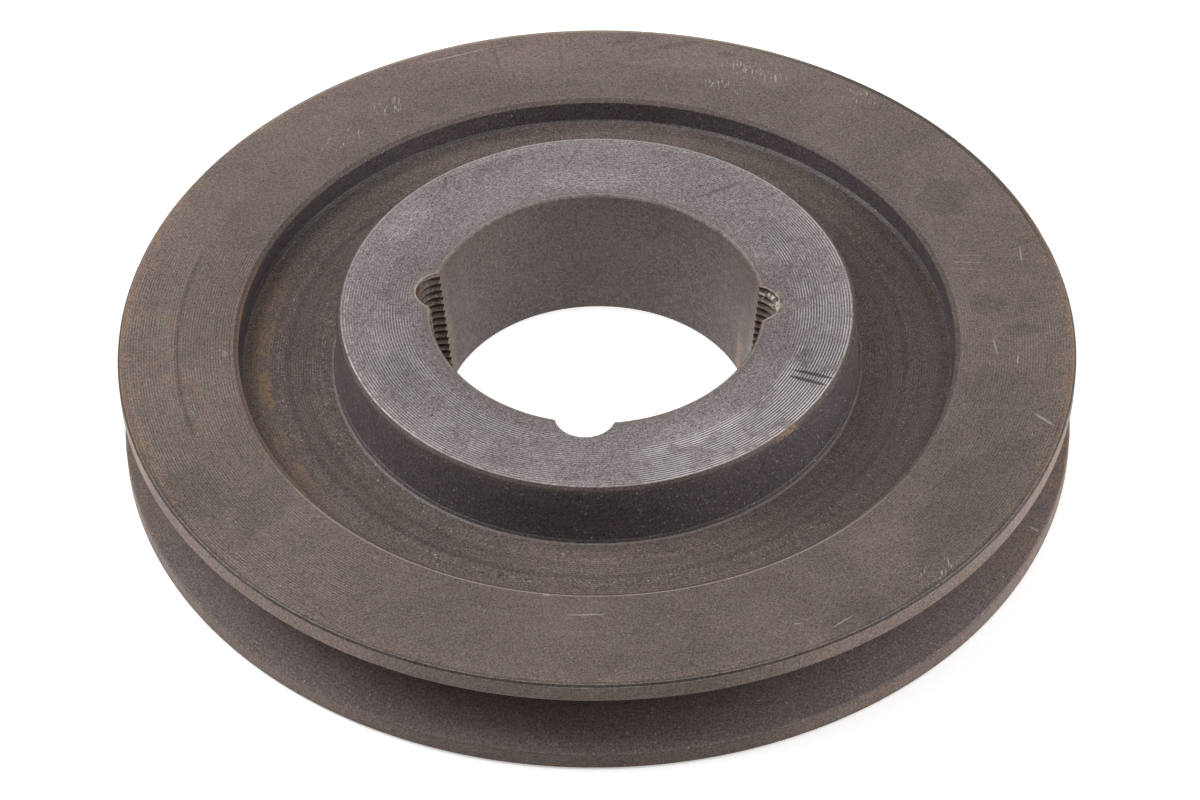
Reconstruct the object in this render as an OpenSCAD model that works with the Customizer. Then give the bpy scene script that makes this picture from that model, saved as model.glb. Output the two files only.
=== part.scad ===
// Single-groove V-belt pulley for a taper bush: one iron casting, turned all over.
// +Z is the bore axis, towards the face where the bush goes in.
// z = 0 is the rim's rear face, on the bore axis.

/* [Belt groove] */
// Pitch diameter
pitch_d = 160; // [150:1:250]
// Groove width at the pitch diameter
pitch_w = 11; // [9:0.5:12]
// Angle between the groove's flanks, in degrees
groove_angle = 38; // [34:1:38]
// Rim height above the pitch line
rim_above_pitch = 2.75; // [2.5:0.05:3.5]
// Groove depth below the pitch line
groove_below_pitch = 11; // [9:0.5:11]
// Radius in the groove's bottom corners
groove_corner_r = 0.8; // [0.4:0.1:1]
// Width of the small bevel on the groove's lips
groove_lip = 0.35; // [0.1:0.05:0.5]

/* [Rim] */
// Width of the rim
rim_w = 20; // [18:0.5:24]
// Iron between the groove's bottom and the side recess
rim_wall = 7; // [5:0.5:9]
// Bevel on the rim's outer edges
rim_bevel = 0.4; // [0.2:0.1:1]
// Width of the bevel at a recess's mouth
mouth_bevel_w = 0.9; // [0.4:0.1:1.5]
// Height of the bevel at a recess's mouth
mouth_bevel_h = 0.6; // [0.3:0.1:1.5]

/* [Web] */
// Depth of each side recess at the rim
recess_depth = 5; // [4:0.5:6.5]
// How much deeper each recess is at the hub
web_dish = 0.8; // [0.2:0.1:1.5]
// Radius in the recess's corners
recess_corner_r = 0.6; // [0.3:0.1:1.5]

/* [Hub] */
// Length of the hub
hub_len = 25.4; // [24:0.1:26.5]
// How far the hub stands out of the rim's front face
hub_proud = 6.1; // [5:0.1:6.5]
// Diameter of the hub at its end
hub_d = 89.6; // [82:0.2:96]
// Draft of the hub's side, in degrees
hub_draft = 3; // [1:0.5:5]
// Bevel on the hub's outer edges
hub_bevel = 0.75; // [0.3:0.05:1]

/* [Bush seat] */
// Diameter of the taper seat at the hub's front face
seat_d = 57.15; // [56:0.05:58]
// Included angle of the taper seat, in degrees
seat_taper = 8; // [6:0.5:10]
// Bevel at both ends of the seat
seat_bevel = 0.4; // [0.2:0.1:0.8]

/* [Screw holes] */
// Circle on which the two clamping screws lie
screw_pcd = 54; // [53:0.5:56]
// Angle from the removal hole to each clamping screw, in degrees
screw_spread = 94.5; // [80:0.5:120]
// Outer diameter of the clamping screw's thread
thread_d = 9.525; // [8:0.005:10]
// Pitch of the thread
thread_pitch = 1.5875; // [1.25:0.0125:2]
// Diameter drilled before the thread is cut
tap_drill_d = 7.94; // [7.9:0.02:8]
// Circle on which the plain removal hole lies
removal_pcd = 54.4; // [53:0.2:56]
// Diameter of the plain removal hole
removal_d = 10.3; // [9.8:0.1:11]
// Flat that the drill leaves in the middle of the hole's bottom
removal_flat = 1.6; // [1:0.1:2.5]
// Depth of the plain removal hole
removal_depth = 18; // [15:0.5:20]

/* [Hidden] */
$fn = 96;
iron = [0.36, 0.32, 0.30];
over = 1;                                    // how far a cutter runs past the iron
rim_r = pitch_d / 2 + rim_above_pitch;
groove_bottom_r = pitch_d / 2 - groove_below_pitch;
recess_r = groove_bottom_r - rim_wall;
hub_front_z = rim_w + hub_proud;
hub_rear_z = hub_front_z - hub_len;
hub_r = hub_d / 2;
seat_r = seat_d / 2;
removal_angle = 270;
drill_point = 118;
thread_flank = 55 / 2;                       // half the angle of the thread's vee
thread_root_w = thread_pitch / 6;
tooth_arc = 240;                             // each turn is cut only where there is iron
tooth_steps = 12;
fillet_steps = 6;

function unit(v) = v / norm(v);
function half_groove(r) = pitch_w / 2 + (r - pitch_d / 2) * tan(groove_angle / 2);

// The points of an arc of radius r that rounds the corner b between its neighbours a and c
function fillet(a, b, c, r) =
    let (
        u = unit(a - b),
        v = unit(c - b),
        half = acos(u * v) / 2,
        centre = b + unit(u + v) * r / sin(half),
        first = b + u * r / tan(half) - centre,
        last = b + v * r / tan(half) - centre,
        start = atan2(first[1], first[0]),
        turn = (180 - 2 * half) * sign(cross(first, last))
    )
    [for (i = [0:fillet_steps])
        let (angle = start + turn * i / fillet_steps)
        centre + r * [cos(angle), sin(angle)]];

// Everything that turning takes off one side, seen with the rim's face at height 0
module turned_side(hub_face) {
    foot_depth = recess_depth + web_dish;
    foot = [hub_r + (hub_face - hub_bevel + foot_depth) * tan(hub_draft), -foot_depth];
    shoulder = [hub_r, hub_face - hub_bevel];
    wall_foot = [recess_r, -recess_depth];
    wall_top = [recess_r, -mouth_bevel_h];
    clear = hub_face + abs(hub_face) + 2 * over;
    rotate_extrude() polygon([
        [0, hub_face], [hub_r - hub_bevel, hub_face], shoulder,
        each fillet(shoulder, foot, wall_foot, recess_corner_r),
        each fillet(foot, wall_foot, wall_top, recess_corner_r),
        wall_top, [recess_r + mouth_bevel_w, 0],
        [rim_r - rim_bevel, 0], [rim_r + over, -rim_bevel - over],
        [rim_r + over, clear], [0, clear]
    ]);
}

// The vee groove that the belt runs in
module belt_groove() {
    low = [groove_bottom_r, -half_groove(groove_bottom_r)];
    high = [groove_bottom_r, half_groove(groove_bottom_r)];
    lip = [rim_r - groove_lip, half_groove(rim_r - groove_lip)];
    edge = [rim_r + over, lip[1] + groove_lip + over];
    upper = [each fillet(low, high, lip, groove_corner_r), lip, edge];
    count = len(upper);
    lower = [for (i = [1:count]) [upper[count - i][0], -upper[count - i][1]]];
    translate([0, 0, rim_w / 2]) rotate_extrude() polygon(concat(upper, lower));
}

// The taper that the bush is drawn into
module bush_seat() {
    slope = tan(seat_taper / 2);
    small_r = seat_r - hub_len * slope;
    translate([0, 0, hub_rear_z]) rotate_extrude() polygon([
        [0, -over], [small_r + seat_bevel + over, -over],
        [small_r + seat_bevel * slope, seat_bevel],
        [seat_r - seat_bevel * slope, hub_len - seat_bevel],
        [seat_r + seat_bevel + over, hub_len + over], [0, hub_len + over]
    ]);
}

// One turn of the thread's vee, a helix cut into the iron on the hole's outer side
module thread_turn() {
    inner_r = tap_drill_d / 2 - 0.3;
    outer_r = thread_d / 2;
    inner_w = thread_root_w + 2 * (outer_r - inner_r) * tan(thread_flank);
    section = [[inner_r, -inner_w / 2], [outer_r, -thread_root_w / 2],
               [outer_r, thread_root_w / 2], [inner_r, inner_w / 2]];
    points = [
        for (i = [0:tooth_steps])
            let (a = tooth_arc * (i / tooth_steps - 0.5))
            for (p = section) [p[0] * cos(a), p[0] * sin(a), p[1] + thread_pitch * a / 360]
    ];
    last = 4 * tooth_steps;
    faces = [
        [0, 1, 2], [0, 2, 3],
        [last + 2, last + 1, last], [last + 3, last + 2, last],
        for (i = [0:tooth_steps - 1], k = [0:3])
            let (a = 4 * i + k, b = 4 * i + (k + 1) % 4)
            each [[a, a + 4, b + 4], [a, b + 4, b]]
    ];
    polyhedron(points, faces);
}

// Half a hole in the seat's wall, threaded right through the hub
module screw_hole(angle) {
    rotate(angle) translate([screw_pcd / 2, 0, hub_rear_z]) {
        translate([0, 0, -over]) cylinder(d = tap_drill_d, h = hub_len + 2 * over);
        for (z = [0:thread_pitch:hub_len]) translate([0, 0, z]) thread_turn();
    }
}

// Half a plain hole in the seat's wall, with a drill point at its bottom
module removal_hole() {
    point_h = (removal_d - removal_flat) / 2 / tan(drill_point / 2);
    rotate(removal_angle) translate([removal_pcd / 2, 0, hub_front_z - removal_depth]) {
        cylinder(d = removal_d, h = removal_depth + over);
        translate([0, 0, -point_h]) cylinder(d1 = removal_flat, d2 = removal_d, h = point_h);
    }
}

module pulley() {
    color(iron) difference() {
        translate([0, 0, -over]) cylinder(r = rim_r, h = hub_front_z + 2 * over);
        translate([0, 0, rim_w]) turned_side(hub_proud);
        mirror([0, 0, 1]) turned_side(-hub_rear_z);
        belt_groove();
        bush_seat();
        removal_hole();
        for (side = [-1, 1]) screw_hole(removal_angle + side * screw_spread);
    }
}

pulley();
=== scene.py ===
import math

import bmesh
import bpy
import numpy as np
from mathutils import Matrix, Vector


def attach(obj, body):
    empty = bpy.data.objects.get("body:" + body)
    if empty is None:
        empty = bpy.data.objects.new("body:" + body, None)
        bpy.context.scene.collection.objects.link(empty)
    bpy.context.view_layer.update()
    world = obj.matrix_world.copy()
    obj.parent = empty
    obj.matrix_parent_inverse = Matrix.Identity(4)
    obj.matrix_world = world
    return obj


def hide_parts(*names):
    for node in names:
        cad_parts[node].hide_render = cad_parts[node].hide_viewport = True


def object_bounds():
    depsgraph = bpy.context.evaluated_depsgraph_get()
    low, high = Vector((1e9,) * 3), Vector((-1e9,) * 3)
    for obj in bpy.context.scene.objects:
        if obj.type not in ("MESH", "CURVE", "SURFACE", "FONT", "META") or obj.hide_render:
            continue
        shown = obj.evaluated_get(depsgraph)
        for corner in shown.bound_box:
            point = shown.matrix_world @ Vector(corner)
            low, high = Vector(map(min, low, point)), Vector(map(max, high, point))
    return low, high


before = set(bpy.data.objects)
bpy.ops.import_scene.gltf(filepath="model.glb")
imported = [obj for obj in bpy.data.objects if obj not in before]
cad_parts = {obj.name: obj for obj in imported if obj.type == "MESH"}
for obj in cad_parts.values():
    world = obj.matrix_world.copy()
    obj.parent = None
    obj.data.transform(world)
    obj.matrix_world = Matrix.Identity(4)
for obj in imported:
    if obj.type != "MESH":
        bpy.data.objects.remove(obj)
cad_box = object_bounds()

# Sizes are in millimetres, in the part's own frame: +Z is the bore axis, towards the hub's front
# face, and z = 0 is the rim's rear face. Blender's own units are metres, so MM turns one into the other.
MM = 0.001
TAU = 2 * math.pi

# ------------------------------------------------------------------ sizes

RIM_R = cad_box[1].x / MM
HUB_FRONT = cad_box[1].z / MM
RIM_W = 20.0
RIM_BEVEL = 0.4
PITCH_R, PITCH_W, GROOVE_SLOPE = 80.0, 11.0, math.tan(math.radians(19))
GROOVE_BOTTOM_R, LIP_ROUND = 69.0, 0.5
RECESS_R, RECESS_DEPTH, WEB_DISH = 62.0, 5.0, 0.8
MOUTH_W, MOUTH_H = 0.9, 0.6
HUB_LEN, HUB_R, HUB_BEVEL = 25.4, 44.8, 0.75
HUB_REAR = HUB_FRONT - HUB_LEN
HUB_SLOPE = math.tan(math.radians(3))
SEAT_R, SEAT_SLOPE, SEAT_BEVEL = 28.575, math.tan(math.radians(4)), 0.4
SCREW_C, TAP_R, THREAD_R, THREAD_PITCH = 27.0, 3.97, 4.7625, 1.5875
THREAD_FLAT = 1 / 16        # half the width of a crest, as a share of the pitch
THREAD_FLANK = 3 / 8        # the width of a flank, as a share of the pitch
MOUTH_DEPTH = 0.75          # how deep the plain mouth above the first turn is, as a share of the thread
MOUTH_FADE = (0.45, 0.15)   # the depths below the hub's face between which the mouth begins
REMOVAL_C, REMOVAL_R, REMOVAL_DEPTH = 27.2, 5.15, 18.0
POINT_R, POINT_SLOPE = 0.8, math.tan(math.radians(59))
REMOVAL_ANGLE = math.radians(270)
SCREW_SPREAD = math.radians(94.5)

# How finely the casting is cut up
WALL_COLUMNS = 200          # between the half-holes, shared out by angle
SCREW_COLUMNS, REMOVAL_COLUMNS = 32, 24
THREAD_ROWS = 8             # rows to one pitch of the thread
LEAN_FADE = 4               # columns over which the rows turn level again beside a thread
LEVEL_ENDS = (0.5, 1.4)     # how far from the hub's faces the rows begin to lean, and lean fully
FACE_SHARES = (0.02, 0.06, 0.14, 0.26, 0.45, 0.7)   # where the rows of a hub face lie, from the bore out
EDGE_GUESS, EDGE_PASSES = 1.4, 6    # the search for a half-hole's edges: its first angle, and its steps
FLOOR_SPREAD, FLOOR_FADE = 0.09, 3  # how the columns spread out over the seat below the plain hole
EDGE_STEPS = (0.15, 0.8)    # where rows lie beside each corner of the outline
ROW_GAP = 4.0               # and the most between rows further off
ARC_STEP = 0.5              # the widest angle, in radians, between two points of a rounded corner
ARC_SHARE = 0.45            # the most of a straight run that a rounded corner takes up
SAME_PLACE = 0.002          # points closer than this are one point
SHARP_ANGLE = math.radians(32)

# Wear is 0 to 1: how far an edge has lost its corner and its film
WEAR_FULL, WEAR_REACH = 0.05, 0.22      # how far it is full, and how far it spreads, from a corner
BORE_WEAR, FACE_WEAR = 0.7, 0.5         # at the bore's mouths: inside them, and on the hub's faces
# Dents in the worn edges: the angle and the half width, in degrees, and the depth
DENTS = ((121, 0.9, 0.16), (124, 0.5, 0.12), (117, 0.6, 0.1), (139, 0.5, 0.07),
         (171, 0.7, 0.08), (232, 0.5, 0.06), (298, 0.6, 0.07), (21, 0.8, 0.09))

# ------------------------------------------------------------------ the half-holes in the bore


def smooth(x, low, high):
    """0 below low, 1 above high, and a smooth step between."""
    t = np.clip((x - low) / (high - low), 0, 1)
    return t * t * (3 - 2 * t)


def seat_radius(z):
    """The bush seat's radius at height z: a taper with a bevel at each end."""
    taper = SEAT_R - (HUB_FRONT - z) * SEAT_SLOPE
    front = z - (HUB_FRONT - SEAT_BEVEL)
    rear = HUB_REAR + SEAT_BEVEL - z
    return taper + np.maximum(front, 0) + np.maximum(rear, 0)


def thread_radius(phi, z):
    """A right-hand vee thread's radius at angle phi round its hole, with narrow flats."""
    turn = (z - HUB_REAR) / THREAD_PITCH - phi / TAU
    from_crest = np.abs((turn + 0.5) % 1 - 0.5)
    depth = np.clip((from_crest - THREAD_FLAT) / THREAD_FLANK, 0, 1)
    in_mouth = smooth(z, HUB_FRONT - MOUTH_FADE[0], HUB_FRONT - MOUTH_FADE[1])
    depth = depth + (MOUTH_DEPTH - depth) * in_mouth
    return TAP_R + (THREAD_R - TAP_R) * depth


def removal_radius(phi, z):
    """The plain hole's radius: straight, then a drill point with a small flat."""
    floor = HUB_FRONT - REMOVAL_DEPTH
    return np.clip(REMOVAL_R - (floor - z) * POINT_SLOPE, POINT_R, REMOVAL_R) + 0 * phi


REMOVAL_FLOOR = HUB_FRONT - REMOVAL_DEPTH - (REMOVAL_R - POINT_R) / POINT_SLOPE

RIGHT_HOLE = {"angle": REMOVAL_ANGLE + SCREW_SPREAD - TAU, "centre": SCREW_C, "radius": thread_radius,
              "columns": SCREW_COLUMNS, "lean": THREAD_PITCH / TAU, "floor": None}
LEFT_HOLE = {**RIGHT_HOLE, "angle": REMOVAL_ANGLE - SCREW_SPREAD}
PLAIN_HOLE = {"angle": REMOVAL_ANGLE, "centre": REMOVAL_C, "radius": removal_radius,
              "columns": REMOVAL_COLUMNS, "lean": 0, "floor": REMOVAL_FLOOR}
SCREW_HOLES = [RIGHT_HOLE, LEFT_HOLE]
HOLES = [*SCREW_HOLES, PLAIN_HOLE]      # in the order of their angles


def hole_points(hole, z, lean, on_wall):
    """A half-hole's points in one row, from its low edge to its high edge.
    lean tilts the row along the thread. on_wall lays the points on the seat, where the hole has ended."""
    edge = np.array([-1, 1]) * EDGE_GUESS
    for _ in range(EDGE_PASSES):
        height = z + lean * edge
        rho = hole["radius"](edge, height)
        wall = seat_radius(height)
        cosine = (wall ** 2 - hole["centre"] ** 2 - rho ** 2) / (2 * hole["centre"] * rho)
        edge = np.array([-1, 1]) * np.arccos(np.clip(cosine, -0.999, 0.999))
    phi = np.linspace(edge[0], edge[1], hole["columns"])
    height = z + lean * phi
    rho = hole["radius"](phi, height)
    x = hole["centre"] + rho * np.cos(phi)
    y = rho * np.sin(phi)
    if on_wall:
        half = math.atan2(abs(y[-1]), x[-1]) + FLOOR_SPREAD * smooth(hole["floor"] - z, 0, FLOOR_FADE)
        theta = np.linspace(-half, half, hole["columns"])
        x, y = seat_radius(z) * np.cos(theta), seat_radius(z) * np.sin(theta)
    turn = hole["angle"]
    return np.stack([x * math.cos(turn) - y * math.sin(turn),
                     x * math.sin(turn) + y * math.cos(turn), height], axis=1)


def wall_counts():
    """How many columns each stretch of plain seat gets, after each hole in turn."""
    gaps = [(HOLES[(i + 1) % 3]["angle"] - hole["angle"]) % TAU for i, hole in enumerate(HOLES)]
    return [round(WALL_COLUMNS * gap / TAU) for gap in gaps]


WALLS = wall_counts()


def bore_row(z, floor_done):
    """One closed row of points round the bore at height z."""
    begin, full = LEVEL_ENDS
    lean = smooth(z, HUB_REAR + begin, HUB_REAR + full)
    lean = lean * (1 - smooth(z, HUB_FRONT - full, HUB_FRONT - begin))
    arcs = [
        hole_points(hole, z, hole["lean"] * lean, hole["floor"] is not None and floor_done)
        for hole in HOLES
    ]
    row = []
    for i, arc in enumerate(arcs):
        after = arcs[(i + 1) % 3][0]
        start = math.atan2(arc[-1, 1], arc[-1, 0])
        sweep = (math.atan2(after[1], after[0]) - start) % TAU
        t = np.linspace(0, 1, WALLS[i] + 2)[1:-1]
        steps = np.arange(1, WALLS[i] + 1)
        height = z + (arc[-1, 2] - z) * (1 - smooth(steps, 0, LEAN_FADE))
        height = height + (after[2] - z) * (1 - smooth(WALLS[i] + 1 - steps, 0, LEAN_FADE))
        theta = start + sweep * t
        radius = seat_radius(height)
        row += [arc, np.stack([radius * np.cos(theta), radius * np.sin(theta), height], axis=1)]
    return np.concatenate(row)


# ------------------------------------------------------------------ the turned outline

def half_groove(r):
    return PITCH_W / 2 + (r - PITCH_R) * GROOVE_SLOPE


def outline():
    """The turned outline from the hub's front face out, round the rim and back to the hub's rear face.
    Each corner is (radius, height, rounding, wear, the surface that starts there)."""
    web_front, web_rear = RIM_W - RECESS_DEPTH, RECESS_DEPTH
    foot_front, foot_rear = web_front - WEB_DISH, web_rear + WEB_DISH
    foot_r = HUB_R + (HUB_FRONT - HUB_BEVEL - foot_front) * HUB_SLOPE
    lip, bottom = half_groove(RIM_R), half_groove(GROOVE_BOTTOM_R)
    middle = RIM_W / 2
    start_r = HUB_R - 14        # anywhere on the hub's face, well inside its bevel
    return [
        (start_r, HUB_FRONT, 0, 0, "hub_face"),
        (HUB_R - HUB_BEVEL, HUB_FRONT, 0.10, 0.8, "bevel"),
        (HUB_R, HUB_FRONT - HUB_BEVEL, 0.12, 0.1, "side"),
        # a fine line cut in the hub's side, then a low ridge at its foot
        (foot_r - 0.05, foot_front + 0.86, 0.03, 0, "side"),
        (foot_r - 0.14, foot_front + 0.76, 0.03, 0, "side"),
        (foot_r + 0.02, foot_front + 0.66, 0.05, 0, "side"),
        (foot_r + 0.20, foot_front + 0.10, 0.05, 0, "web"),
        (foot_r + 0.42, foot_front + 0.24, 0.06, 0.6, "web"),
        (foot_r + 0.74, foot_front + 0.02, 0.15, 0, "web"),
        # the web, and the fillet under the recess's wall
        (RECESS_R - 8.4, web_front - 0.41, 0, 0, "web"),
        (RECESS_R - 0.75, web_front - 0.03, 0.1, 0, "web"),
        (RECESS_R - 0.5, web_front + 0.07, 0.1, 0, "side"),
        (RECESS_R, web_front + 0.42, 0.3, 0, "side"),
        (RECESS_R, RIM_W - MOUTH_H, 0.12, 0.3, "bevel"),
        (RECESS_R + MOUTH_W, RIM_W, 0.12, 0.6, "rim_face"),
        # the rim's outside, with the belt groove in its middle
        (RIM_R - RIM_BEVEL, RIM_W, 0.08, 0.7, "bevel"),
        (RIM_R, RIM_W - RIM_BEVEL, 0.08, 0.65, "land"),
        (RIM_R, middle + lip, LIP_ROUND, 0.5, "groove"),
        (GROOVE_BOTTOM_R, middle + bottom, 0.8, 0, "groove"),
        (GROOVE_BOTTOM_R, middle - bottom, 0.8, 0, "groove"),
        (RIM_R, middle - lip, LIP_ROUND, 0.5, "land"),
        (RIM_R, RIM_BEVEL, 0.12, 0.3, "bevel"),
        # the rear
        (RIM_R - RIM_BEVEL, 0, 0.12, 0.3, "rim_face"),
        (RECESS_R + MOUTH_W, 0, 0.12, 0.5, "bevel"),
        (RECESS_R, MOUTH_H, 0.12, 0.3, "side"),
        (RECESS_R, web_rear, 0.6, 0, "web"),
        (foot_r + 0.2, foot_rear, 0.6, 0, "side"),
        (HUB_R, HUB_REAR + HUB_BEVEL, 0.12, 0.35, "bevel"),
        (HUB_R - HUB_BEVEL, HUB_REAR, 0.10, 0.8, "hub_face"),
        (start_r, HUB_REAR, 0, 0, "hub_face"),
    ]


def round_corner(before, corner, after, radius):
    """The points of the arc that rounds a corner."""
    if not radius:
        return [corner]
    u = (before - corner) / np.linalg.norm(before - corner)
    v = (after - corner) / np.linalg.norm(after - corner)
    half = math.acos(float(np.clip(u @ v, -1, 1))) / 2
    reach = radius / math.tan(half)
    longest = ARC_SHARE * min(np.linalg.norm(before - corner), np.linalg.norm(after - corner))
    if reach > longest:
        radius, reach = radius * longest / reach, longest
    centre = corner + (u + v) / np.linalg.norm(u + v) * radius / math.sin(half)
    first, last = corner + u * reach - centre, corner + v * reach - centre
    turn = math.pi - 2 * half
    steps = max(2, math.ceil(turn / ARC_STEP))
    sign = 1 if first[0] * last[1] - first[1] * last[0] > 0 else -1
    points = []
    for k in range(steps + 1):
        a = sign * turn * k / steps
        points.append(centre + [first[0] * math.cos(a) - first[1] * math.sin(a),
                                first[0] * math.sin(a) + first[1] * math.cos(a)])
    return points


def fill(a, b):
    """Points on the straight run between a and b, closer together near its ends."""
    length = float(np.linalg.norm(b - a))
    near = [s for s in EDGE_STEPS if s < 0.4 * length]
    inner = near[-1] if near else 0
    count = max(1, math.ceil((length - 2 * inner) / ROW_GAP))
    middle = [inner + (length - 2 * inner) * k / count for k in range(count + 1)]
    places = sorted({*near, *(length - s for s in near), *middle})
    return [a + (b - a) * s / length for s in places if 1e-6 < s < length - 1e-6]


def outline_rows():
    """The outline's rows as (radius, height), with the surface after each row and its wear."""
    corners = outline()
    spots = [np.array(c[:2], float) for c in corners]
    rows, names = [], []
    for i, (_, _, radius, _, name) in enumerate(corners):
        ends = 0 < i < len(corners) - 1
        arc = round_corner(spots[i - 1], spots[i], spots[i + 1], radius) if ends else [spots[i]]
        if rows:
            between = fill(rows[-1], arc[0])
            rows += between
            names += [names[-1]] * len(between)
        half = len(arc) // 2
        names += [names[-1] if names else name] * half + [name] * (len(arc) - half)
        rows += arc
    rows = np.array(rows)
    wear = np.zeros(len(rows))
    for spot, corner in zip(spots, corners):
        far = np.linalg.norm(rows - spot, axis=1)
        wear = np.maximum(wear, corner[3] * (1 - smooth(far, WEAR_FULL, WEAR_REACH)))
    return rows, names, wear


# ------------------------------------------------------------------ the casting's mesh

def ripple(theta, seed, waves):
    """A smooth random curve round the pulley, about -1 to 1, with that many waves a turn at most."""
    rng = np.random.default_rng(seed)
    total = np.zeros_like(theta)
    for _ in range(12):
        total += np.sin(theta * rng.integers(2, waves) + rng.uniform(0, TAU))
    return total / 3.5


def bore_heights():
    """Row heights down the bore: close rows all the way for the threads, three rows on the bevel at
    each end, and one row on the plain hole's floor."""
    step = THREAD_PITCH / THREAD_ROWS
    clear = 0.1                 # between the bevels and the first of the close rows
    inner = np.arange(HUB_REAR + SEAT_BEVEL + clear, HUB_FRONT - SEAT_BEVEL - clear, step)
    heights = [z for z in inner if abs(z - REMOVAL_FLOOR) > 0.4 * step]
    for depth in (0, SEAT_BEVEL / 2, SEAT_BEVEL):
        heights += [HUB_REAR + depth, HUB_FRONT - depth]
    return sorted([*heights, REMOVAL_FLOOR], reverse=True)


def casting_rows():
    """Every row of the casting from the bore's front mouth down the bore, out along the rear,
    round the rim and back over the front, with each row's surface name and wear."""
    rows, names, wear = [], [], []
    for z in bore_heights():
        steps = [False, True] if z == REMOVAL_FLOOR else [z < REMOVAL_FLOOR]
        for done in steps:
            rows.append(bore_row(z, done))
            names.append("bore")
            near = min(abs(z - HUB_FRONT), abs(z - HUB_REAR))
            wear.append(BORE_WEAR * (1 - smooth(near, 0.1, 0.6)))
    front, rear = rows[0], rows[-1]
    columns = np.arctan2(front[:, 1], front[:, 0])
    turned, surfaces, worn = outline_rows()
    # out along the rear face, whose columns swing round to the front's
    inner_end = HUB_R - HUB_BEVEL
    names[-1] = "hub_face"
    direction = np.stack([np.cos(columns), np.sin(columns)], axis=1)
    for share in FACE_SHARES:
        flat = rear[:, :2] * (1 - share) + direction * inner_end * share
        rows.append(np.column_stack([flat, np.full(len(flat), HUB_REAR)]))
        names.append("hub_face")
        wear.append(FACE_WEAR * (1 - smooth(share, 0, FACE_SHARES[1])))
    # round the rim, from the rear hub face's edge back to the front hub face's edge
    keep = [i for i, (r, z) in enumerate(turned) if r > inner_end - 1.4]
    for i in reversed(keep):
        r, z = turned[i]
        rows.append(np.column_stack([direction * r, np.full(len(direction), z)]))
        names.append(surfaces[i - 1] if i else surfaces[0])
        wear.append(worn[i])
    # and in over the front face to the bore's mouth
    radii = np.hypot(front[:, 0], front[:, 1])[:, None]
    for share in reversed(FACE_SHARES):
        flat = direction * (radii * (1 - share) + inner_end * share)
        rows.append(np.column_stack([flat, np.full(len(flat), HUB_FRONT)]))
        names.append("hub_face")
        wear.append(FACE_WEAR * (1 - smooth(share, 0, FACE_SHARES[1])))
    return np.array(rows), names, np.array(wear)


SURFACES = ["hub_face", "bevel", "side", "web", "rim_face", "land", "groove", "bore", "thread"]


def hole_columns():
    """For each hole in turn, the first and last column of its arc."""
    spans, at = [], 0
    for hole, wall in zip(HOLES, WALLS):
        spans.append((at, at + hole["columns"] - 1))
        at += hole["columns"] + wall
    return spans


def knock_edges(rows, wear):
    """Lets the worn edges wander a little, and knocks a few small dents in them."""
    theta = np.arctan2(rows[:, :, 1], rows[:, :, 0])
    radius = np.hypot(rows[:, :, 0], rows[:, :, 1])
    loss = 0.02 * np.maximum(ripple(theta, 5, 90), 0)
    for at, width, depth in DENTS:
        gap = np.abs((np.degrees(theta) - at + 180) % 360 - 180)
        loss += depth * np.exp(-(gap / width) ** 2)
    loss *= wear[:, None] * (radius > HUB_R - 2)
    shrink = 1 - loss / radius
    rows[:, :, 0] *= shrink
    rows[:, :, 1] *= shrink


def join_points(mesh):
    """Joins the points that coincide, as two rows do outside the plain hole at its floor."""
    work = bmesh.new()
    work.from_mesh(mesh)
    bmesh.ops.remove_doubles(work, verts=work.verts, dist=SAME_PLACE * MM)
    work.to_mesh(mesh)
    work.free()


def build_casting():
    """The whole casting as one closed mesh, its rows joined in a ring from the bore round the rim."""
    rows, names, row_wear = casting_rows()
    knock_edges(rows, row_wear)
    count, columns = rows.shape[:2]
    index = np.arange(count * columns).reshape(count, columns)
    below = np.roll(index, -1, axis=0)
    right = np.roll(index, -1, axis=1)
    below_right = np.roll(below, -1, axis=1)
    faces = np.stack([index, right, below_right, below], axis=-1).reshape(-1, 4)
    mesh = bpy.data.meshes.new("pulley_casting")
    mesh.from_pydata((rows.reshape(-1, 3) * MM).tolist(), [], faces.tolist())
    surfaces = np.repeat([[SURFACES.index(name)] for name in names], columns, axis=1)
    bore = surfaces[:, 0] == SURFACES.index("bore")
    for hole, (first, last) in zip(HOLES, hole_columns()):
        if hole in SCREW_HOLES:
            surfaces[bore, first:last] = SURFACES.index("thread")
    wear = np.repeat(row_wear[:, None], columns, axis=1)
    mesh.polygons.foreach_set("material_index", surfaces.reshape(-1).astype(np.int32))
    mesh.attributes.new("wear", "FLOAT", "POINT").data.foreach_set("value", wear.reshape(-1))
    mesh.polygons.foreach_set("use_smooth", np.ones(len(faces), bool))
    join_points(mesh)
    mesh.set_sharp_from_angle(angle=SHARP_ANGLE)
    mesh.update()
    casting = bpy.data.objects.new("pulley_casting", mesh)
    bpy.context.collection.objects.link(casting)
    return casting


# ------------------------------------------------------------------ node materials

FRONT_FADE = (6.0, 10.0)    # the heights between which the marks of the front begin


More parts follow.
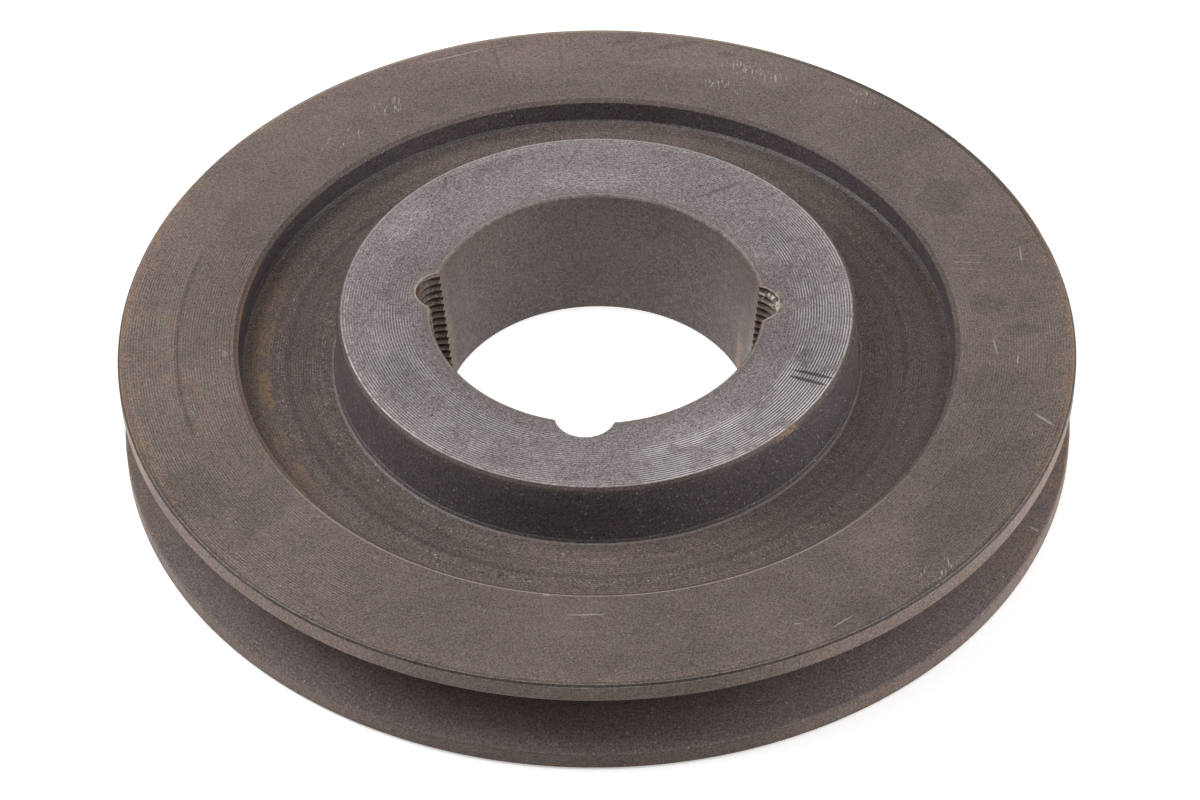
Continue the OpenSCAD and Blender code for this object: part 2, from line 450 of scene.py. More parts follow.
class Nodes:
    """Builds one material's node tree. Lengths are in millimetres, and each method returns a socket."""

    def __init__(self, name):
        self.material = bpy.data.materials.new(name)
        self.material.use_nodes = True
        self.tree = self.material.node_tree
        self.shader = self.tree.nodes["Principled BSDF"]
        place = self.add("ShaderNodeTexCoord").outputs["Object"]
        self.place = self.vector("SCALE", place, scale=1 / MM)
        self.x, self.y, self.z = self.add("ShaderNodeSeparateXYZ", {0: self.place}).outputs
        flat = self.combine(self.x, self.y, 0.0)
        self.radius = self.add("ShaderNodeVectorMath", {0: flat}, operation="LENGTH").outputs["Value"]
        self.outward = self.vector("NORMALIZE", flat)
        self.across = self.math("ADD", self.radius, self.z)
        self.made = {}

    def add(self, kind, inputs=None, **settings):
        node = self.tree.nodes.new(kind)
        for key, value in settings.items():
            setattr(node, key, value)
        for key, value in (inputs or {}).items():
            self.set(node.inputs[key], value)
        return node

    def set(self, socket, value):
        if isinstance(value, bpy.types.NodeSocket):
            self.tree.links.new(value, socket)
        elif isinstance(value, (tuple, list)) and len(value) < len(socket.default_value):
            socket.default_value = (*value, 1)
        else:
            socket.default_value = value

    def math(self, operation, *values):
        node = self.add("ShaderNodeMath", dict(enumerate(values)), operation=operation)
        return node.outputs[0]

    def product(self, *values):
        total = values[0]
        for value in values[1:]:
            total = self.math("MULTIPLY", total, value)
        return total

    def vector(self, operation, value, scale=None, other=None):
        node = self.add("ShaderNodeVectorMath", {0: value}, operation=operation)
        if scale is not None:
            self.set(node.inputs["Scale"], scale)
        if other is not None:
            self.set(node.inputs[1], other)
        return node.outputs[0]

    def combine(self, x, y, z):
        return self.add("ShaderNodeCombineXYZ", {0: x, 1: y, 2: z}).outputs[0]

    def noise(self, size, seed, detail=3.0, rough=0.6, place=None):
        """Noise about 0.5, in blots about size across. The same noise is made only once."""
        key = (size, seed, detail, rough)
        if place or key not in self.made:
            off = self.vector("ADD", place or self.place, other=(13.7 * seed, 7.3 * seed, 3.1 * seed))
            node = self.add("ShaderNodeTexNoise", {"Vector": off, "Scale": 1 / size, "Detail": detail,
                                                   "Roughness": rough})
            self.made[key] = node.outputs[0]
        return self.made[key]

    def streaks(self, width, length, seed):
        """Noise drawn out round the axis, as turning leaves it."""
        arc = self.vector("SCALE", self.outward, scale=60.0 / length)
        up = self.combine(0.0, 0.0, self.math("DIVIDE", self.across, width))
        return self.noise(1.0, seed, 1.0, 0.55, self.vector("ADD", arc, other=up))

    def scratches(self, degrees, length, width, seed, amount):
        """Short fine scratches that all run one way, over about that share of the surface."""
        turned = self.add("ShaderNodeVectorRotate", {"Vector": self.place, "Angle": math.radians(degrees)},
                          rotation_type="Z_AXIS").outputs[0]
        drawn = self.vector("MULTIPLY", turned, other=(1 / length, 1 / width, 1 / length))
        return self.step(self.noise(1.0, seed, 1.0, 0.5, drawn), 0.78 - amount, 0.86 - amount)

    def rings(self, pitch, wander):
        """The tool's regular feed marks, 0 to 1, wandering a little."""
        off = self.product(self.math("SUBTRACT", self.noise(14.0, 31.0, 2.0), 0.5), wander)
        phase = self.product(self.math("ADD", self.across, off), TAU / pitch)
        return self.math("MULTIPLY_ADD", self.math("SINE", phase), 0.5, 0.5)

    def step(self, value, low, high, out_low=0.0, out_high=1.0):
        """Maps value from low to high onto out_low to out_high, smoothly, and clamps it."""
        node = self.add("ShaderNodeMapRange", {"Value": value, "From Min": low, "From Max": high,
                                               "To Min": out_low, "To Max": out_high},
                        interpolation_type="SMOOTHSTEP")
        return node.outputs[0]

    def mix(self, share, a, b):
        node = self.add("ShaderNodeMix", data_type="RGBA")
        for name, value in (("Factor_Float", share), ("A_Color", a), ("B_Color", b)):
            self.set(next(x for x in node.inputs if x.identifier == name), value)
        return next(x for x in node.outputs if x.identifier == "Result_Color")

    def attribute(self, name):
        return self.add("ShaderNodeAttribute", attribute_name=name).outputs["Fac"]

    def band(self, low, high, soft):
        """1 between two radii, fading to 0 over soft outside them."""
        inner = self.step(self.radius, low - soft, low)
        return self.math("MULTIPLY", inner, self.step(self.radius, high + soft, high))

    def sector(self, degrees, half_width, soft):
        """1 within half_width of an angle round the axis, fading to 0 over soft more degrees."""
        a = math.radians(degrees)
        cosine = self.add("ShaderNodeVectorMath", {0: self.outward, 1: (math.cos(a), math.sin(a), 0)},
                          operation="DOT_PRODUCT").outputs["Value"]
        outer = math.cos(math.radians(min(180, half_width + soft)))
        return self.step(cosine, outer, math.cos(math.radians(half_width)))

    def on_front(self):
        """1 on the front of the casting and 0 on its rear, changing inside the rim's width."""
        return self.step(self.z, *FRONT_FADE)

    def mark(self, degrees, radius, along, across, turn=0.0, ragged=0.0, blot=2.0, front=True):
        """An oval mark centred at an angle and a radius: half along long and half across wide,
        its length square to the radius if turn is 0. ragged breaks it up in blots of that size.
        It shows only on the front of the casting, unless front is False."""
        a = math.radians(degrees)
        b = math.radians(degrees + 90 + turn)
        centre = (radius * math.cos(a), radius * math.sin(a), 0)
        off = self.vector("SUBTRACT", self.combine(self.x, self.y, 0.0), other=centre)
        lengths = []
        for angle, half in ((b, along), (b + math.pi / 2, across)):
            axis = (math.cos(angle) / half, math.sin(angle) / half, 0)
            node = self.add("ShaderNodeVectorMath", {0: off, 1: axis}, operation="DOT_PRODUCT")
            share = node.outputs["Value"]
            lengths.append(self.math("MULTIPLY", share, share))
        size = self.math("ADD", *lengths)
        if ragged:
            torn = self.math("SUBTRACT", self.noise(blot, 7.0, 3.0, 0.65), 0.5)
            size = self.math("ADD", size, self.product(torn, ragged * 8))
        shown = self.step(size, 1.25, 0.55)
        return self.product(shown, self.on_front()) if front else shown

    def stain_ring(self, degrees, radius, size):
        """A thin broken ring of that radius about a point, such as a wet can leaves."""
        a = math.radians(degrees)
        off = self.vector("SUBTRACT", self.combine(self.x, self.y, 0.0),
                          other=(radius * math.cos(a), radius * math.sin(a), 0))
        away = self.add("ShaderNodeVectorMath", {0: off}, operation="LENGTH").outputs["Value"]
        gap = self.math("ABSOLUTE", self.math("SUBTRACT", away, size))
        broken = self.step(self.noise(6.0, 62.0), 0.38, 0.55)
        return self.product(self.step(gap, 0.9, 0.2), broken, self.on_front())

    def tone(self, *parts):
        """1 plus the sum of amount times (noise less a half), for each part (noise, amount)."""
        total = 1.0
        for noise, amount in parts:
            total = self.math("ADD", total, self.product(self.math("SUBTRACT", noise, 0.5), amount))
        return total

    def shade(self, colour, tone):
        """A colour made lighter or darker by tone."""
        return self.vector("SCALE", colour, scale=tone)

    def finish(self, colour, roughness, height, depth):
        """Sets the shader: height is 0 to 1 over depth."""
        self.set(self.shader.inputs["Base Color"], colour)
        self.set(self.shader.inputs["Roughness"], roughness)
        bump = self.add("ShaderNodeBump", {"Height": height, "Distance": depth * MM})
        self.set(self.shader.inputs["Normal"], bump.outputs[0])
        return self.material


RING_PITCH = 0.475          # the facing tool's feed
RUST = (0.235, 0.125, 0.060)
FRESH_RUST = (0.36, 0.17, 0.06)
TAN = (0.290, 0.205, 0.130)
PALE = (0.400, 0.365, 0.335)
DARK = (0.045, 0.036, 0.036)
BURR = (0.48, 0.44, 0.41)


class Iron(Nodes):
    """Phosphated grey iron, the start of every surface: cloudy, grainy and specked."""

    def __init__(self, name, base, cloud=0.5, grain=1.0, specks=0.6):
        super().__init__(name)
        self.patchy = self.noise(5.0, 2.0, 3.0, 0.6)
        self.fine = self.noise(0.34, 3.0, 1.0, 0.6)
        tone = self.tone((self.noise(22.0, 1.0, 2.0), cloud), (self.patchy, 0.35 * cloud),
                         (self.noise(1.2, 5.0, 1.0, 0.6), 0.35 * grain), (self.fine, 2.1 * grain))
        self.colour = self.shade(base, tone)
        self.height = self.fine
        self.lay(TAN, self.step(self.noise(0.42, 11.0, 1.0), 0.64, 0.74), 0.7 * specks)
        self.lay(PALE, self.step(self.noise(0.34, 12.0, 0.0), 0.76, 0.84), specks)
        self.lay(DARK, self.step(self.noise(0.42, 13.0, 0.0), 0.72, 0.82), specks)

    def lay(self, colour, mask, strength=1.0):
        self.colour = self.mix(self.product(mask, strength), self.colour, colour)

    def speckle(self, colour, mask, strength=1.0):
        """Lays a colour as a dusting of grains, closer together where mask is nearer to 1."""
        grains = self.noise(0.42, 14.0, 1.0, 0.6)
        self.lay(colour, self.step(self.math("MULTIPLY_ADD", mask, 0.24, grains), 0.66, 0.80), strength)

    def dim(self, mask, amount):
        """Darkens the colour where mask is 1, or lightens it if amount is negative."""
        self.colour = self.shade(self.colour, self.math("SUBTRACT", 1.0, self.product(mask, amount)))

    def dim_marks(self, amount, ragged, blot, *spots):
        """Dims an oval mark at each spot: its angle, radius, two half sizes and, if it has one, its turn."""
        for spot in spots:
            self.dim(self.mark(*spot, ragged=ragged, blot=blot), amount)

    def lay_marks(self, colour, strength, ragged, blot, *spots, within=1.0):
        """Lays a colour in an oval mark at each spot, and only where the mask within is 1."""
        for spot in spots:
            self.lay(colour, self.product(within, self.mark(*spot, ragged=ragged, blot=blot)), strength)

    def turned(self, pitch, colour, depth, length=4.0, where=1.0):
        """Feed marks: how far they show as colour, and how high they stand beside the grain.
        where is a mask, and they show less as it nears 0."""
        rings = self.rings(pitch, 0.15)
        streak = self.streaks(0.8 * pitch, length, 21.0)
        broad = self.streaks(3.2 * pitch, 6 * length, 22.0)
        share = self.math("MULTIPLY_ADD", self.math("SUBTRACT", self.patchy, 0.5), 4.0, 1.0)
        lines = self.product(self.math("SUBTRACT", rings, 0.5), share)
        tone = self.tone((self.math("ADD", lines, 0.5), colour), (streak, 0.8 * colour),
                         (broad, 0.35 * colour))
        self.colour = self.mix(where, self.colour, self.shade(self.colour, tone))
        self.height = self.math("ADD", self.height, self.product(rings, depth, where))
        self.height = self.math("ADD", self.height, self.product(streak, depth))

    def round_hole(self, hole, low, high, soft):
        """1 between two distances from a half-hole's axis, fading to 0 over soft outside them."""
        a = hole["angle"]
        centre = (hole["centre"] * math.cos(a), hole["centre"] * math.sin(a), 0)
        off = self.vector("SUBTRACT", self.combine(self.x, self.y, 0.0), other=centre)
        away = self.add("ShaderNodeVectorMath", {0: off}, operation="LENGTH").outputs["Value"]
        return self.math("MULTIPLY", self.step(away, low - soft, low), self.step(away, high + soft, high))

    def rub_edges(self, strength):
        """Lays bare metal where the mesh's wear says that edges have rubbed."""
        torn = self.noise(0.8, 8.0, 4.0, 0.7)
        worn = self.math("MULTIPLY_ADD", torn, 1.3, self.attribute("wear"))
        self.lay(PALE, self.step(worn, 1.0, 1.6), strength)

    def make(self, roughness, depth=0.04, gloss=0.5):
        """Finishes the material, rougher and smoother in patches. The grain stands depth high."""
        self.set(self.shader.inputs["Specular IOR Level"], gloss)
        rough = self.step(self.patchy, 0.3, 0.7, roughness - 0.06, roughness + 0.08)
        return self.finish(self.colour, rough, self.height, depth)


# In the materials, angles are in degrees round the axis and radii in millimetres.

def rim_rust(n):
    """The left and right of the rim have browned along its outer edge, and the left of it inside too."""
    drift = n.math("MULTIPLY_ADD", n.noise(4.0, 41.0, 3.0, 0.6), 8.0, n.radius)
    edge = n.step(drift, 81.5, 88.5)
    n.speckle(RUST, n.product(edge, n.sector(186, 20, 20)), 0.9)
    n.speckle(RUST, n.product(edge, n.sector(2, 16, 20)), 0.8)
    n.speckle(FRESH_RUST, n.product(n.step(drift, 83.5, 89.0), n.sector(0, 9, 10)), 0.7)
    n.speckle(TAN, n.product(edge, n.sector(270, 178, 2)), 0.6)
    n.speckle(RUST, n.product(n.band(62.8, 63.05, 0.1), n.sector(196, 22, 14)), 0.6)
    # a can or a cup left rings of rust
    for degrees, radius, size in ((185, 78.5, 6.5), (198, 77, 8.0)):
        n.speckle(RUST, n.stain_ring(degrees, radius, size), 0.45)


def rim_smudges_and_sheen(n):
    """Oily smudges, dry patches, a painted sheen over the outer back of the face with a little painted shade
    over its front right, and a few dark rubs and scores.
    """
    n.dim_marks(0.16, 0.3, 6.0, (214, 77, 8, 5), (221, 69, 4, 8, 30), (330, 75, 15, 7), (306, 79, 6, 3),
                (352, 68, 5, 5))
    n.dim_marks(0.2, 0.3, 3.0, (3.9, 73.7, 1.6, 3.4), (9.5, 68, 2.6, 3.6), (20.8, 80.0, 0.4, 2.2, 24),
                (33, 71, 5, 5))
    # two pale dry patches, and a large painted sheen at the back, the spot at 95 degrees
    n.dim_marks(-0.10, 0.35, 6.0, (316, 71, 6, 5), (196, 70, 9, 6), (95, 74, 24, 7))
    # a painted sheen over the outer back of the face, and a little painted shade over its front right
    n.dim(n.product(n.band(74, 83, 3.0), n.sector(134, 58, 26)), -0.13)
    n.dim(n.product(n.band(60, 83, 1.0), n.sector(298, 44, 20)), 0.06)
    n.dim_marks(0.24, 0.15, 1.5, (83, 79.3, 4.4, 0.8, 22), (90, 79.4, 3.0, 0.8, 26), (76, 78.8, 1.8, 0.8, 10))
    n.dim_marks(0.18, 0.2, 2.0, (108, 76.5, 6.0, 0.35, 88), (99, 76.5, 6.0, 0.35, 88))
    n.dim(n.product(n.band(72.3, 72.8, 0.3), n.sector(186, 16, 5)), 0.3)


def rim_scratches(n):
    """Dry scuffs, fine scratches all over, and a few single ones."""
    n.lay_marks(PALE, 0.75, 0.3, 2.0, (71, 76, 7, 2.6), (73, 70, 6, 1.6), (56, 79, 3, 2.2),
                (126, 71.5, 4, 2.2), (136, 69, 5, 2.6), (318, 80, 4, 2),
                within=n.scratches(84, 1.6, 0.28, 51.0, 0.17))
    n.lay(PALE, n.scratches(37, 2.4, 0.16, 52.0, 0.03), 0.35)
    n.lay(PALE, n.scratches(121, 2.0, 0.15, 53.0, 0.03), 0.3)
    n.lay_marks(PALE, 0.5, 0.30, 0.45, (272.7, 67.1, 3.2, 0.16, 3), (304, 79.5, 2.2, 0.12, 8),
                (113, 79.5, 7, 0.16, 1), (299, 76.5, 0.7, 0.14, -20), (347.5, 78.9, 2.2, 0.3, 62),
                (266.5, 63.2, 0.6, 0.3, 0), (18.5, 77.2, 2.2, 0.16, -14), (0.4, 68.8, 2.2, 0.16, 10),
                (358, 72.7, 1.2, 0.15, 0))
    n.lay_marks(PALE, 0.28, 0.45, 0.45, (188.5, 64.3, 0.9, 0.45, 10), (17.5, 66.5, 3.2, 0.12, 70),
                (18.8, 67.4, 3.0, 0.12, 72), (20.3, 68.0, 2.6, 0.12, 74))


def rim_edges(n):
    """The outer edge is a thin worn line, with painted shade just inside it at the front, a painted highlight
    at the back that is partly wear, and rust at the sides. The front edge of the recess's mouth has a painted
    highlight too, partly wear."""
    # painted shade just inside the outer edge at the front
    n.dim(n.product(n.band(81.9, 82.4, 0.15), n.sector(270, 62, 14)), 0.34)
    for degrees, half_width, amount in ((50, 24, 0.52), (332, 10, 0.22), (210, 10, 0.16)):
        n.dim(n.product(n.band(81.6, 82.5, 0.2), n.sector(degrees, half_width, 14)), amount)
    # a painted highlight on the outer edge at the back, partly wear
    n.lay((0.40, 0.315, 0.235), n.product(n.band(81.9, 82.5, 0.2), n.sector(104, 24, 22)), 0.5)
    for degrees in (2, 182):
        n.lay(RUST, n.product(n.band(82.0, 82.5, 0.2), n.sector(degrees, 18, 14)), 0.4)
    # a painted highlight, partly wear, on the front edge of the recess's mouth
    n.lay((0.34, 0.29, 0.25), n.product(n.band(62.8, 63.05, 0.08), n.sector(270, 40, 20)), 0.7)
    n.rub_edges(0.5)


def rim_face():
    n = Iron("rim_face_iron", (0.126, 0.097, 0.088), cloud=0.6, grain=1.0)
    left_right = n.math("MAXIMUM", n.sector(204, 34, 16), n.product(n.sector(342, 20, 22), 0.6))
    n.turned(RING_PITCH, 0.5, 0.5, 5.0, n.math("MULTIPLY_ADD", left_right, 0.85, 0.15))
    rim_rust(n)
    rim_smudges_and_sheen(n)
    rim_scratches(n)
    rim_edges(n)
    return n.make(0.52)


def hub_rings(n):
    """Fine painted glints and dark streaks all over, and on the feed marks painted glints with painted shade
    between them, where the light runs square to them, broken up in patches.
    """
    # fine painted glints, and dark streaks, drawn out round the axis
    n.lay((0.46, 0.43, 0.43), n.step(n.streaks(0.36, 1.6, 23.0), 0.60, 0.74), 0.35)
    n.lay((0.075, 0.062, 0.065), n.step(n.streaks(0.36, 1.6, 24.0), 0.60, 0.74), 0.45)
    n.dim(n.product(n.band(28, 36, 2.0), n.sector(210, 42, 20)), 0.16)
    n.dim(n.product(n.band(28, 38, 2.0), n.sector(2, 14, 12)), 0.18)
    rings = n.rings(RING_PITCH, 0.15)
    # painted highlights on the crests of the feed marks and painted shade between them, in the sectors where
    # the light runs square to them
    lit = n.math("MAXIMUM", n.product(n.sector(318, 24, 18), n.band(36.5, 43.6, 1.5)),
                 n.product(n.sector(14, 16, 14), n.band(35, 43.6, 1.5), 0.6))
    lit = n.math("MAXIMUM", lit, n.product(n.sector(222, 34, 20), n.band(33, 43.6, 1.5), 0.4))
    lit = n.product(lit, n.step(n.noise(4.6, 25.0, 2.0), 0.38, 0.56))
    n.lay((0.66, 0.64, 0.66), n.product(lit, n.step(rings, 0.62, 0.95)), 0.75)
    n.lay((0.050, 0.041, 0.043), n.product(lit, n.step(rings, 0.38, 0.05)), 0.75)


def hub_marks(n):
    """Smudges, two dark nicks at the right, a few rubs, and fine scratches."""
    n.dim_marks(-0.20, 0.3, 4.0, (301, 35, 9, 3), (95, 33, 9, 3), (150, 40, 6, 3))
    n.dim_marks(0.17, 0.35, 4.0, (344, 40, 7, 3.5), (35, 36, 5, 2.5), (212, 38, 8, 4), (252, 40, 5, 2.2),
                (120, 41, 5, 1.6))
    n.dim_marks(0.72, 0.12, 0.8, (336.0, 40.4, 3.7, 0.45, 97), (338.6, 40.6, 3.7, 0.45, 97))
    n.dim_marks(0.35, 0.2, 1.0, (58, 37, 4.5, 0.5, 62), (77, 41.6, 1.5, 0.4, 50),
                (134, 41.8, 2.0, 0.45, 40), (100, 39.5, 3, 0.3, 60))
    n.lay(PALE, n.scratches(64, 1.8, 0.15, 52.0, 0.04), 0.45)
    n.lay(PALE, n.scratches(152, 1.6, 0.15, 53.0, 0.04), 0.4)


def hub_lips(n):
    """The lip of the bore is browner, the threads' mouths have pale burrs, and the outer edge is worn."""
    lip = n.step(n.math("MULTIPLY_ADD", n.noise(1.2, 42.0), 2.4, n.radius), 31.8, 30.2)
    n.lay((0.13, 0.095, 0.08), lip, 0.55)
    n.dim(n.band(42.9, 44.4, 0.5), -0.12)
    for hole in SCREW_HOLES:
        n.speckle(TAN, n.round_hole(hole, 3.9, 5.4, 0.8), 0.4)
    broken = n.step(n.noise(1.5, 26.0), 0.42, 0.6)
    left_burr = n.round_hole(LEFT_HOLE, 4.2, 4.74, 0.06)
    n.lay(BURR, left_burr, 0.35)
    n.lay(BURR, n.product(left_burr, broken), 0.45)
    n.lay(PALE, n.product(n.round_hole(RIGHT_HOLE, 4.2, 4.74, 0.08), broken), 0.75)
    torn = n.step(n.noise(2.0, 27.0), 0.45, 0.6)
    n.dim(n.product(n.round_hole(RIGHT_HOLE, 4.7, 5.1, 0.2), torn), 0.4)
    # a painted highlight on the outer edge at the back, and the edge is knocked bright at the front left
    n.lay(PALE, n.product(n.band(43.8, 44.1, 0.1), n.sector(95, 60, 25)), 0.4)
    knocked = n.step(n.noise(2.0, 29.0), 0.4, 0.55)
    n.lay((0.70, 0.67, 0.65), n.product(n.band(43.9, 44.2, 0.1), n.sector(216, 14, 10), knocked), 0.8)
    n.lay((0.7, 0.68, 0.66), n.mark(264.8, 44.1, 0.35, 0.3), 0.9)
    n.rub_edges(0.6)


def hub_face():
    n = Iron("hub_face_iron", (0.186, 0.159, 0.163), cloud=0.35, grain=1.4, specks=0.6)
    n.turned(RING_PITCH, 0.3, 0.7, 3.0)
    n.colour = n.shade(n.colour, n.tone((n.noise(0.8, 28.0, 2.0, 0.7), 1.0)))
    hub_rings(n)
    hub_marks(n)
    hub_lips(n)
    return n.make(0.44)


def bevel():
    n = Iron("bevel_iron", (0.102, 0.076, 0.067), grain=0.9)
    n.dim(n.band(43, 45.5, 0.3), 0.22)
    n.dim(n.product(n.band(44.6, 45.2, 0.1), n.sector(270, 80, 30)), 0.45)
    n.speckle(RUST, n.mark(319.5, 44.6, 3.0, 1.2, 0, 0.2, 0.8), 0.9)
    n.speckle(RUST, n.product(n.sector(196, 24, 12), n.band(61.9, 62.3, 0.1)), 0.9)
    # painted shade on the rim's outer bevel round the front and sides, and a painted highlight, partly wear,
    # at the back
    outer = n.band(82, 83, 0.2)
    n.dim(n.product(outer, n.sector(270, 100, 25)), 0.5)
    n.lay((0.36, 0.28, 0.205), n.product(outer, n.sector(107, 31, 26)), 0.55)
    n.rub_edges(0.5)
    return n.make(0.5, gloss=0.3)


def side():
    n = Iron("side_iron", (0.093, 0.076, 0.082), grain=1.1, specks=1.1)
    n.turned(0.3, 0.2, 0.2)
    # painted shade in the fillet under the recess's wall, but for the back of it
    fillet = n.band(61.4, 61.8, 0.12)
    n.dim(n.product(fillet, n.math("SUBTRACT", 1.0, n.sector(82, 20, 14))), 0.45)
    dust = n.step(n.noise(0.5, 15.0, 0.0), 0.78, 0.84)
    n.lay((0.46, 0.45, 0.48), n.product(dust, n.sector(312, 40, 20)), 0.8)
    n.rub_edges(0.3)
    return n.make(0.5)


def web():
    n = Iron("web_iron", (0.114, 0.088, 0.080), grain=1.2, specks=0.9)
    n.turned(RING_PITCH, 0.35, 0.2, 6.0)
    for radius, half, amount in ((53.6, 0.3, 0.22), (50.9, 0.25, 0.10), (56.2, 0.3, 0.10), (48.6, 0.2, 0.08)):
        n.dim(n.band(radius - half, radius + half, 0.45), amount)
    n.dim(n.product(n.band(50.4, 53.8, 1.6), n.sector(198, 46, 26)), 0.10)
    # painted shade on the web next to the recess's wall
    n.dim(n.band(59.4, 61.2, 0.5), 0.16)
    n.dim(n.product(n.band(46.6, 49.5, 0.8), n.sector(262, 60, 30)), -0.12)
    # painted shade over the right of the web, between the hub and the recess's wall
    n.dim(n.product(n.sector(2, 30, 30), n.band(45, 61, 2.0)), 0.2)
    arc = n.product(n.sector(190, 20, 16), n.band(57.4, 58.6, 1.2), n.step(n.noise(6.0, 44.0), 0.25, 0.7))
    n.lay((0.20, 0.120, 0.05), arc, 0.22)
    n.speckle((0.27, 0.155, 0.06), arc, 0.8)
    # a painted highlight where the ridge at the hub's foot catches the light
    n.lay((0.21, 0.18, 0.165), n.product(n.band(45.66, 45.92, 0.12), n.sector(262, 80, 30)), 0.5)
    n.speckle(RUST, n.product(n.sector(196, 26, 16), n.band(59.5, 62.0, 1.0)), 0.3)
    n.rub_edges(0.45)
    return n.make(0.55)


def land():
    n = Iron("land_iron", (0.160, 0.114, 0.093), grain=1.1)
    n.turned(0.35, 0.3, 0.4, 5.0)
    # painted shade on the lands at the front, and painted light on them at the sides
    n.dim(n.sector(273, 6, 26), 0.45)
    n.dim(n.math("SUBTRACT", 1.0, n.sector(270, 40, 30)), -0.22)
    n.dim(n.step(n.z, 6.0, 5.0), 0.14)
    n.speckle(RUST, n.math("SUBTRACT", 1.0, n.sector(270, 62, 20)), 0.4)
    n.speckle(RUST, n.step(n.z, 1.6, 0.3), 0.5)
    n.dim(n.product(n.step(n.z, 1.4, 0.3), n.sector(270, 60, 20)), 0.25)
    n.lay((0.24, 0.17, 0.12), n.math("MAXIMUM", n.sector(2, 12, 14), n.sector(186, 12, 14)), 0.25)
    n.lay((0.34, 0.255, 0.185), n.product(n.sector(195, 6, 10), n.step(n.z, 10.0, 14.0)), 0.45)
    n.rub_edges(0.5)
    return n.make(0.55, gloss=0.33)


def groove():
    n = Iron("groove_iron", (0.117, 0.089, 0.083), grain=1.05, specks=0.8)
    n.turned(0.45, 0.08, 0.1)
    # painted shade, darker towards the bottom of the groove
    n.dim(n.step(n.radius, 78.0, 70.0), 0.22)
    for degrees, strength in ((182, 0.6), (359, 0.6), (198, 0.4), (342, 0.4)):
        n.speckle(RUST, n.product(n.sector(degrees, 7, 9), n.step(n.noise(2.2, 46.0), 0.3, 0.6)), strength)
    n.lay(PALE, n.mark(340.15, 81.3, 0.95, 0.14, 90, front=False), 0.75)
    n.rub_edges(0.55)
    return n.make(0.58)


def bore():
    n = Iron("bore_iron", (0.092, 0.0665, 0.0615), cloud=0.6, grain=1.2, specks=0.35)
    # painted shade, the bore darker towards its rear end
    n.dim(n.step(n.z, 16.0, 6.0), 0.22)
    # fine paler veins, as of a scale that has crept over the metal
    for size, seed, strength in ((1.6, 47.0, 0.34), (3.2, 48.0, 0.2)):
        off = n.math("ABSOLUTE", n.math("SUBTRACT", n.noise(size, seed, 3.0, 0.6), 0.5))
        n.lay((0.21, 0.175, 0.145), n.step(off, 0.028, 0.004), strength)
    for hole in HOLES:
        beside = n.sector(math.degrees(hole["angle"]), 11.0, 5.0)
        n.speckle(TAN, n.product(beside, n.step(n.noise(1.6, 47.0), 0.4, 0.6)), 0.6)
        n.lay((0.18, 0.125, 0.085), n.round_hole(hole, 4.4, 6.2, 1.2), 0.4)
    trickle = n.product(n.sector(26.5, 0.7, 2.2), n.step(n.z, 16.0, 4.0))
    n.lay(RUST, trickle, 0.35)
    n.speckle(RUST, trickle, 0.7)
    n.rub_edges(0.45)
    return n.make(0.5, 0.02)


def thread():
    n = Iron("thread_iron", (0.124, 0.088, 0.074), grain=1.2, specks=1.0)
    n.speckle(RUST, n.step(n.noise(1.0, 48.0), 0.45, 0.6), 0.5)
    first_turns = n.step(n.z, HUB_FRONT - 4.0, HUB_FRONT - 1.0)
    n.speckle(RUST, n.product(n.round_hole(LEFT_HOLE, 3.9, 4.8, 0.3), first_turns), 0.4)
    # painted shade in the roots of the threads
    for hole in SCREW_HOLES:
        n.dim(n.round_hole(hole, THREAD_R - 0.15, THREAD_R + 0.3, 0.5), 0.75)
    # painted glints on the first turns of the thread in the right hole
    painted_glints = n.product(n.round_hole(RIGHT_HOLE, 3.9, 4.5, 0.2),
                       n.step(n.z, HUB_FRONT - 3.6, HUB_FRONT - 2.0))
    n.lay((0.60, 0.53, 0.44), n.product(painted_glints, n.step(n.noise(1.3, 49.0, 1.0), 0.47, 0.56)), 0.85)
    n.rub_edges(0.9)
    return n.make(0.42, gloss=0.35)


def make_materials():
    """One material for each surface, in the order of SURFACES."""
    return [hub_face(), bevel(), side(), web(), rim_face(), land(), groove(), bore(), thread()]


# ------------------------------------------------------------------ camera, floor and light

# The camera is a little to the right of the plain half-hole, looking down at 44 degrees
CAMERA_TURN = math.radians(4.3)
CAMERA_ELEVATION = math.radians(44.02)
CAMERA_ROLL = math.radians(-0.54)
CAMERA_DISTANCE = 731.3
CAMERA_TARGET = (0.46, -16.7, 19.6)
SENSOR_MM = 36.0
LENS_MM = 128.8


def make_camera():
    data = bpy.data.cameras.new("camera")
    data.sensor_width, data.lens = SENSOR_MM, LENS_MM
    data.clip_start, data.clip_end = 0.01, 20
    camera = bpy.data.objects.new("camera", data)
    bpy.context.collection.objects.link(camera)
    turn = Matrix.Rotation(CAMERA_TURN, 4, "Z")
    back = Vector((0, -math.cos(CAMERA_ELEVATION), math.sin(CAMERA_ELEVATION)))
    place = turn @ (Vector(CAMERA_TARGET) + back * CAMERA_DISTANCE) * MM
    tilt = Matrix.Rotation(math.pi / 2 - CAMERA_ELEVATION, 4, "X")
    roll = Matrix.Rotation(CAMERA_ROLL, 4, "Z")
    camera.matrix_world = Matrix.Translation(place) @ turn @ tilt @ roll
    bpy.context.scene.camera = camera


FLOOR_GLOW, BORE_GLOW = 0.42, 0.76
FLOOR_HALF, FLOOR_DROP = 2.5, 0.0001    # in metres: half the floor's width, and its gap below the part
PAPER_WHITE = 0.9


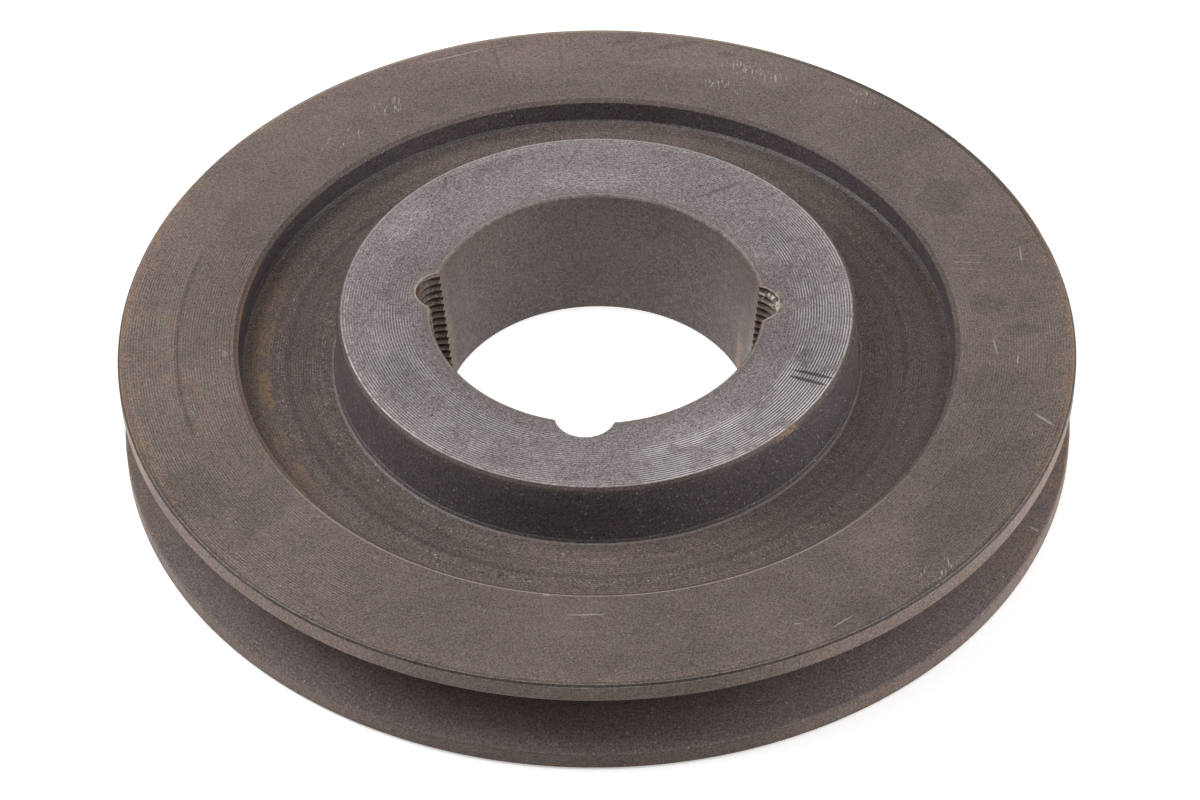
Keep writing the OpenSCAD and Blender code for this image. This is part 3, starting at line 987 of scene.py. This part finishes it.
def make_floor():
    """A plain white sheet, lit a little from below as on a light table, and more so under the bore."""
    mesh = bpy.data.meshes.new("floor")
    corners = [(x * FLOOR_HALF, y * FLOOR_HALF, 0) for x, y in ((-1, -1), (1, -1), (1, 1), (-1, 1))]
    mesh.from_pydata(corners, [], [(0, 1, 2, 3)])
    floor = bpy.data.objects.new("floor", mesh)
    floor.location.z = -FLOOR_DROP
    bpy.context.collection.objects.link(floor)
    material = bpy.data.materials.new("floor_paper")
    material.use_nodes = True
    shader = material.node_tree.nodes["Principled BSDF"]
    shader.inputs["Base Color"].default_value = (PAPER_WHITE, PAPER_WHITE, PAPER_WHITE, 1)
    shader.inputs["Roughness"].default_value = 0.9
    shader.inputs["Specular IOR Level"].default_value = 0.0
    shader.inputs["Emission Color"].default_value = (1, 1, 1, 1)
    tree = material.node_tree
    place = tree.nodes.new("ShaderNodeTexCoord")
    away = tree.nodes.new("ShaderNodeVectorMath")
    away.operation = "LENGTH"
    glow = tree.nodes.new("ShaderNodeMapRange")
    glow.interpolation_type = "SMOOTHSTEP"
    for name, value in (("From Min", SEAT_R * MM), ("From Max", 1.6 * SEAT_R * MM),
                        ("To Min", BORE_GLOW), ("To Max", FLOOR_GLOW)):
        glow.inputs[name].default_value = value
    tree.links.new(place.outputs["Object"], away.inputs[0])
    tree.links.new(away.outputs["Value"], glow.inputs["Value"])
    tree.links.new(glow.outputs[0], shader.inputs["Emission Strength"])
    mesh.materials.append(material)


# Each softbox is (place, size, power in watts). The sides are lit most, and the camera's side least.
SOFTBOXES = {
    "left_low": ((-0.85, 0, 0.30), (0.6, 0.5), 1.75),
    "left_high": ((-0.60, 0, 0.65), (0.6, 0.6), 5.2),
    "right_low": ((0.85, 0, 0.30), (0.6, 0.5), 4.8),
    "right_high": ((0.60, 0, 0.65), (0.6, 0.6), 1.9),
    "overhead": ((0, 0, 0.95), (0.7, 0.7), 2.2),
    "behind": ((0, 0.90, 0.20), (0.8, 0.35), 1.6),
    "front": ((0, -0.80, 0.75), (0.8, 0.5), 0.75),
}
ROOM_LIGHT = 0.042


def make_light():
    world = bpy.data.worlds.new("studio")
    bpy.context.scene.world = world
    world.use_nodes = True
    background = world.node_tree.nodes["Background"]
    background.inputs["Color"].default_value = (1, 1, 1, 1)
    background.inputs["Strength"].default_value = ROOM_LIGHT
    for name, (place, size, power) in SOFTBOXES.items():
        data = bpy.data.lights.new(name, "AREA")
        data.shape = "RECTANGLE"
        data.size, data.size_y = size
        data.energy = power
        light = bpy.data.objects.new(name, data)
        light.location = place
        light.rotation_euler = (-Vector(place)).to_track_quat("-Z", "Y").to_euler()
        bpy.context.collection.objects.link(light)


# ------------------------------------------------------------------ the scene

make_camera()
make_floor()
make_light()
casting = build_casting()
for surface in make_materials():
    casting.data.materials.append(surface)
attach(casting, "root")
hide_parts("pulley")
bpy.context.scene.view_settings.view_transform = "Standard"
